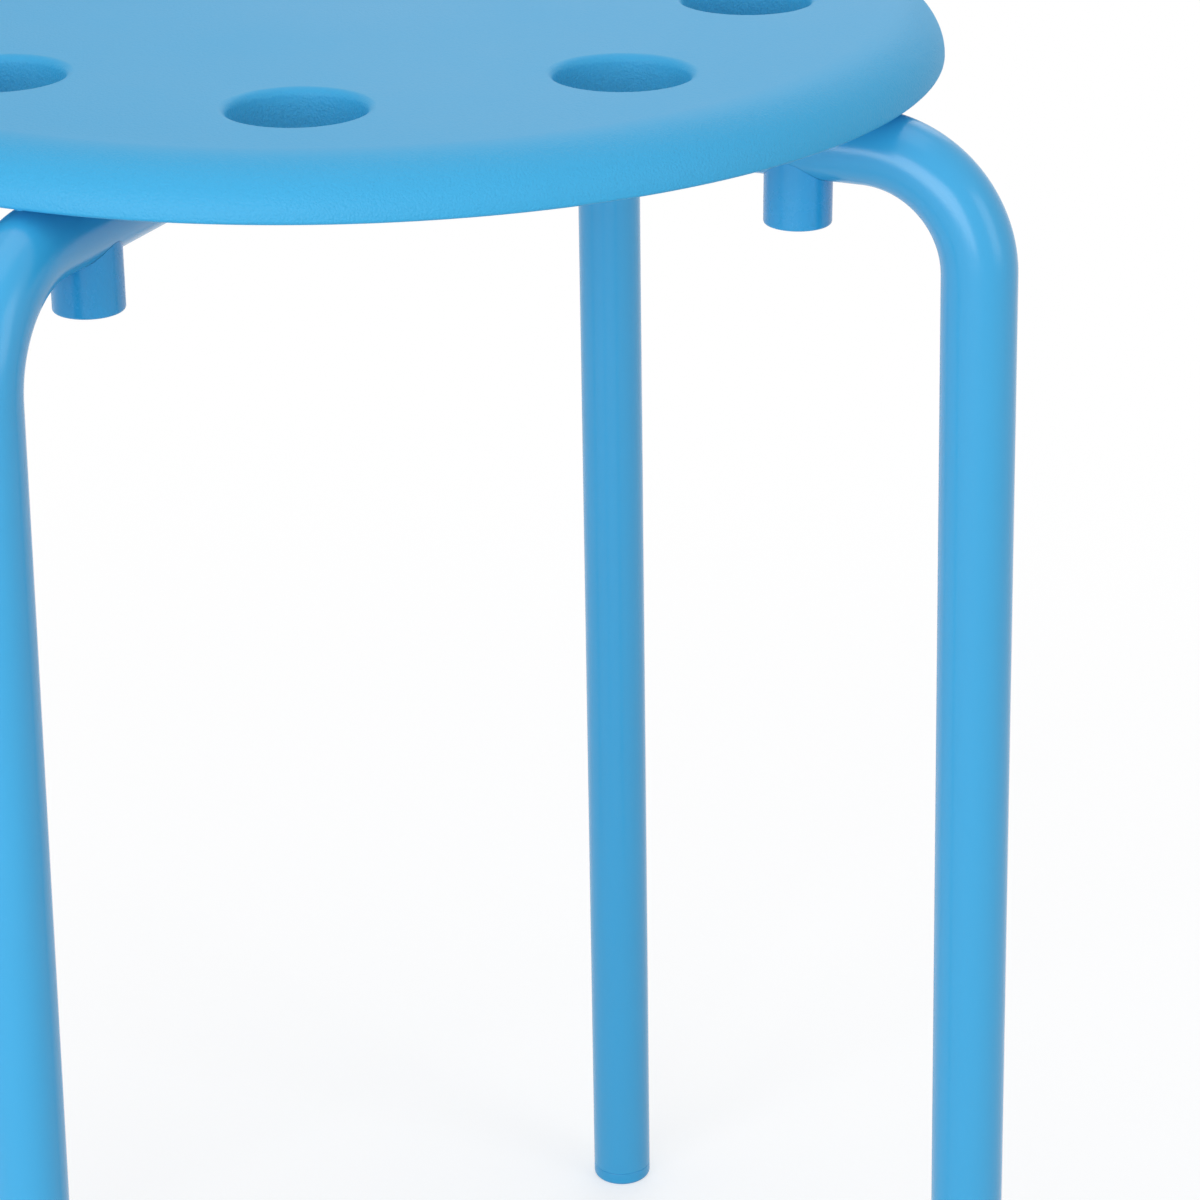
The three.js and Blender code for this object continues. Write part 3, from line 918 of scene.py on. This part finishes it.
def footPlug():
    bore = tubeRadius - tubeShape["wall"] - footShape["gap"]
    core, rounding = bore - footShape["finDepth"], footShape["rounding"]
    sole, trim = tubeRadius - footShape["inset"], tubeRadius * math.tan(splay)
    soleTop, shoulder = tubeShape["soleHeight"] - footShape["gap"], footShape["shoulder"]
    bm, pen = startSection(0, -trim)
    pen = drawLine(bm, pen, (sole - rounding, -trim))
    pen = drawArc(bm, pen, (sole - rounding, rounding - trim), 90, footShape["roundingSteps"])
    pen = drawLine(bm, pen, (sole, soleTop - shoulder))
    pen = drawArc(bm, pen, (sole - shoulder, soleTop - shoulder), 90, footShape["shoulderSteps"])
    pen = drawLine(bm, pen, (core, soleTop))
    pitch = (footShape["length"] - footShape["finHeight"]) / footShape["finCount"]
    for i in range(footShape["finCount"]):
        fin = tubeShape["soleHeight"] + footShape["finHeight"] + i * pitch
        pen = drawLine(bm, pen, (core, fin), (bore, fin), (core, fin + footShape["finHeight"]))
    top = tubeShape["soleHeight"] + footShape["length"]
    drawLine(bm, pen, (core, top), (0, top))
    turnedOnAxis(bm, footShape["sides"])
    bmesh.ops.rotate(bm, verts=bm.verts[:], matrix=Matrix.Rotation(-splay, 3, "Y"))
    cutByPlane(bm, (0, 0, 0), (0, 0, 1))
    return cleaned(bm)


def makeLegPieces():
    kinds = [
        ("seat_screw", "zinc_plate", seatScrew(), "zinc", stubRadius),
        ("screw_washer", "zinc_plate", screwWasher(), "zinc", stubRadius),
        ("stacking_stub", "stub_plastic", stackingStub(), "stub", stubRadius),
        ("foot_plug", "foot_plastic", footPlug(), "foot", shoulderRadius + stool["footRunOut"]),
    ]
    for node, slot, shape, finish, radius in kinds:
        for leg, angle in zip(legNames, legAngles):
            made = bmesh.new()
            addCopy(made, shape, aroundZ(angle, radius))
            finished(f"{node}_{leg}_fine", made, finishes[finish], [f"{node}_{leg}"])
        shape.free()
        print(node, "made for each leg")


makeLegPieces()

stage = {
    "floorSize": 14, "floorColor": (0.56, 0.56, 0.56, 1), "floorDrift": 0.01, "floorPatch": 400.0,
    "floorRoughness": 0.9, "floorGlow": 0.53, "fadeFrom": 0.35, "fadeTo": 1.1,
    "ambient": 0.5, "ambientColor": (0.985, 0.99, 1, 1),
    "aimShare": 0.6,  # the lamps point at this share of the stool's height
}
lamps = {
    "key": {"place": (0.0, -1.85, 0.65), "size": (1.9, 1.0), "level": 3.5},
    "fill": {"place": (1.9, -0.3, 0.9), "size": (0.8, 1.2), "level": 1.6},
    "back": {"place": (-0.3, 1.7, 1.6), "size": (1.6, 1.1), "level": 1.0},
    "rear": {"place": (-0.7, 1.8, 0.22), "size": (1.6, 0.42), "level": 2.4, "gloss": False},
    "top": {"place": (0.0, 0.0, 2.3), "size": (1.6, 1.6), "level": 0.8},
}


def seenRay(nodes, links):
    path = nodes.new("ShaderNodeLightPath").outputs
    seen = mathNode(nodes, links, "MAXIMUM", path["Is Camera Ray"], path["Is Glossy Ray"])
    return mathNode(nodes, links, "MAXIMUM", seen, path["Is Transmission Ray"])


def mixedShader(nodes, links, factor, first, second):
    mix = nodes.new("ShaderNodeMixShader")
    for socket, value in zip(mix.inputs, (factor, first, second)):
        links.new(value, socket)
    return mix.outputs[0]


def makeFloor():
    bm = bmesh.new()
    bmesh.ops.create_grid(bm, x_segments=1, y_segments=1, size=stage["floorSize"] / 2)
    mesh = bpy.data.meshes.new("floor")
    bm.to_mesh(mesh)
    bm.free()
    floor = bpy.data.objects.new("floor", mesh)
    bpy.context.scene.collection.objects.link(floor)
    material, shader, place, nodes, links = newMaterial("floorWhite")
    shader.inputs["Roughness"].default_value = stage["floorRoughness"]
    shader.inputs["Specular IOR Level"].default_value = 0
    tone = useGroup(nodes, links, "tone", place, **{
        "Color": stage["floorColor"], "Patch Size": stage["floorPatch"], "Amount": stage["floorDrift"]})
    links.new(tone["Color"], shader.inputs["Base Color"])
    shader.inputs["Emission Color"].default_value = (1, 1, 1, 1)
    glow = mathNode(nodes, links, "MULTIPLY", seenRay(nodes, links), stage["floorGlow"])
    links.new(glow, shader.inputs["Emission Strength"])
    away = nodes.new("ShaderNodeVectorMath")
    away.operation = "LENGTH"
    links.new(place, away.inputs[0])
    fade = nodes.new("ShaderNodeMapRange")
    fade.interpolation_type = "SMOOTHSTEP"
    fade.inputs["From Min"].default_value = stage["fadeFrom"]
    fade.inputs["From Max"].default_value = stage["fadeTo"]
    links.new(away.outputs["Value"], fade.inputs["Value"])
    backdrop = nodes.new("ShaderNodeEmission")  # the distant floor goes over to the white backdrop
    faded = mathNode(nodes, links, "MULTIPLY", fade.outputs[0], seenRay(nodes, links))
    shown = mixedShader(nodes, links, faded, shader.outputs[0], backdrop.outputs[0])
    below = mathNode(
        nodes, links, "MULTIPLY", nodes.new("ShaderNodeNewGeometry").outputs["Backfacing"],
        nodes.new("ShaderNodeLightPath").outputs["Is Camera Ray"])
    clear = nodes.new("ShaderNodeBsdfTransparent")  # the floor is see-through from below
    shown = mixedShader(nodes, links, below, shown, clear.outputs[0])
    links.new(shown, nodes["Material Output"].inputs["Surface"])
    mesh.materials.append(material)


def makeWorld():
    world = bpy.data.worlds.new("studio")
    bpy.context.scene.world = world
    world.use_nodes = True
    nodes, links = world.node_tree.nodes, world.node_tree.links
    light = nodes["Background"]
    light.inputs["Color"].default_value = stage["ambientColor"]
    light.inputs["Strength"].default_value = stage["ambient"]
    white = nodes.new("ShaderNodeBackground")
    white.inputs["Color"].default_value = (1, 1, 1, 1)
    shown = mixedShader(nodes, links, seenRay(nodes, links), light.outputs[0], white.outputs[0])
    links.new(shown, nodes["World Output"].inputs["Surface"])


def makeLamps():
    aim = Vector((0, 0, stool["height"] * mm * stage["aimShare"]))
    for name, lamp in lamps.items():
        light = bpy.data.lights.new(name, "AREA")
        light.shape = "RECTANGLE"
        light.size, light.size_y = lamp["size"]
        light.energy = lamp["level"] * math.pi * light.size * light.size_y  # level 1 looks white
        holder = bpy.data.objects.new(name, light)
        toward = (aim - Vector(lamp["place"])).to_track_quat("-Z", "Y").to_matrix().to_4x4()
        holder.matrix_world = Matrix.Translation(lamp["place"]) @ toward
        holder.visible_camera = False
        holder.visible_glossy = lamp.get("gloss", True)
        bpy.context.scene.collection.objects.link(holder)


makeFloor()
makeWorld()
makeLamps()
bpy.context.scene.view_settings.view_transform = "Standard"
print("stage and lamps set")
